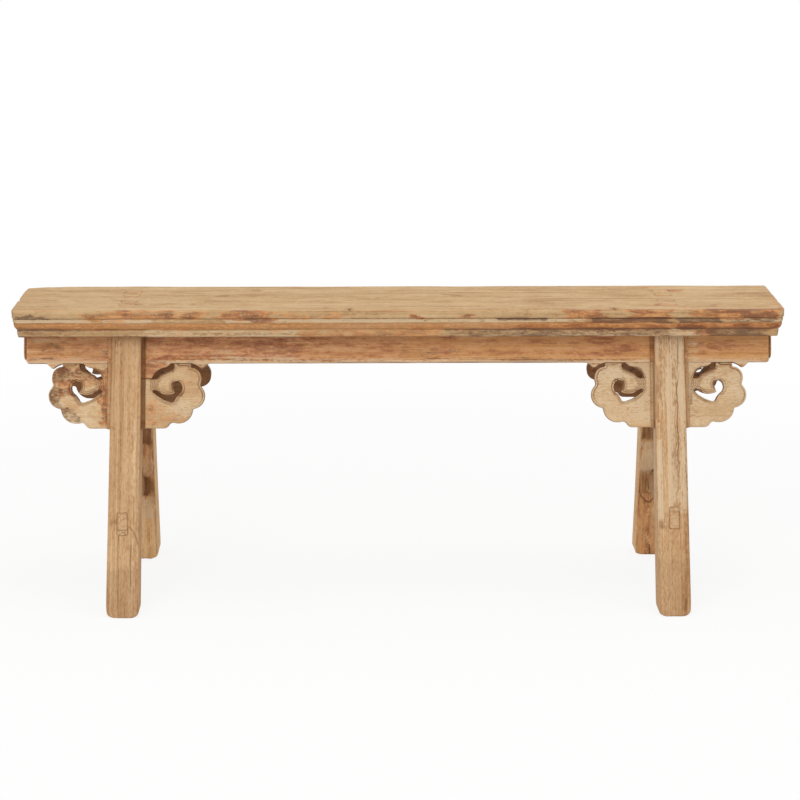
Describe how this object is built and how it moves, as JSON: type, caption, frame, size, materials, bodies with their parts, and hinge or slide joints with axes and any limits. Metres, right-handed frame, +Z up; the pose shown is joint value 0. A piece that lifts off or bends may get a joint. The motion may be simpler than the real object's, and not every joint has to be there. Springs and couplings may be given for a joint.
{
  "type": "bench",
  "caption": "Narrow plank bench with a moulded edge, on splayed forked legs that straddle tilted aprons and pierced cloud-head spandrels, with a wedged stretcher at each end.",
  "frame": {"origin": "on the floor under the middle of the seat", "axes": "+X along the bench to its right, +Y from the front to the rear, +Z up"},
  "size_m": [1.272, 0.396, 0.5],
  "materials": {
    "seat_wood": "dry, worn pale",
    "apron_wood": "worn lacquer remnants",
    "leg_wood": "dry, worn",
    "spandrel_wood": "dry, worn",
    "stretcher_wood": "dry, worn",
    "wedge_wood": "dry end grain"
  },
  "bodies": {
    "root": {"seat_board": "seat_wood", "apron_front": "apron_wood", "apron_rear": "apron_wood", "end_apron_left": "apron_wood", "end_apron_right": "apron_wood", "leg_front_left": "leg_wood", "leg_front_right": "leg_wood", "leg_rear_left": "leg_wood", "leg_rear_right": "leg_wood", "cloud_spandrel_front_left": "spandrel_wood", "cloud_spandrel_front_right": "spandrel_wood", "cloud_spandrel_rear_left": "spandrel_wood", "cloud_spandrel_rear_right": "spandrel_wood", "side_stretcher_left": "stretcher_wood", "side_stretcher_right": "stretcher_wood", "wedge_front_left": "wedge_wood", "wedge_front_right": "wedge_wood", "wedge_rear_left": "wedge_wood", "wedge_rear_right": "wedge_wood"}
  },
  "joints": []
}
